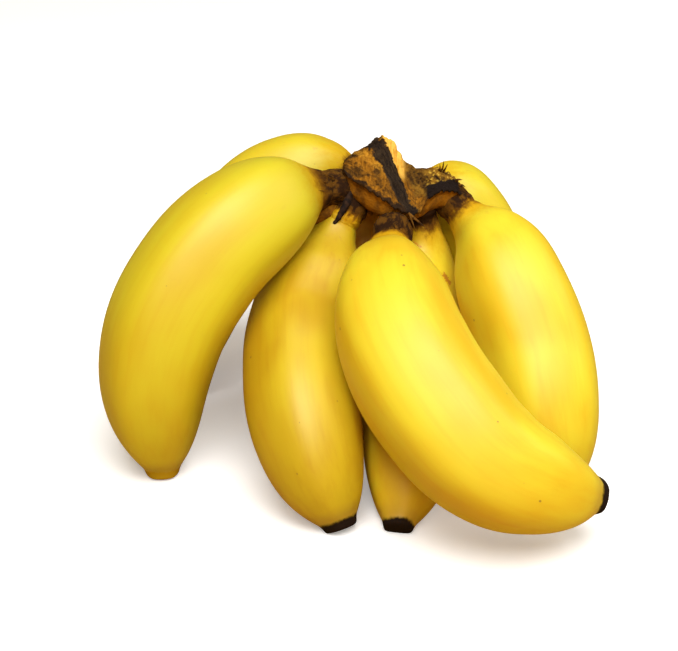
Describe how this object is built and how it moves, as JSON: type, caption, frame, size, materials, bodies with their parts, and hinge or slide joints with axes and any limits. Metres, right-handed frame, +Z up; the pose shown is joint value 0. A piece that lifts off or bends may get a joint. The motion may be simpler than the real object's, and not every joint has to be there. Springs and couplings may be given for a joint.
{
  "type": "hand of bananas",
  "caption": "Hand of small thick bananas joined at a dried brown crown, standing crown up on its finger tips.",
  "frame": {"origin": "on the table under the middle of the hand", "axes": "+Z up through the crown, -Y toward the front where the long fingers come forward, +X to the right of the picture"},
  "size_m": [0.1438, 0.1394, 0.0871],
  "materials": {
    "peel": "waxy smooth ripe peel",
    "crown": "dull dried stalk"
  },
  "bodies": {
    "root": {"crown": "crown", "banana_left": "peel", "banana_rear_left": "peel", "banana_front_left": "peel", "banana_front_middle": "peel", "banana_front_top": "peel", "banana_right": "peel", "banana_rear_right": "peel", "banana_rear_middle": "peel"}
  },
  "joints": []
}
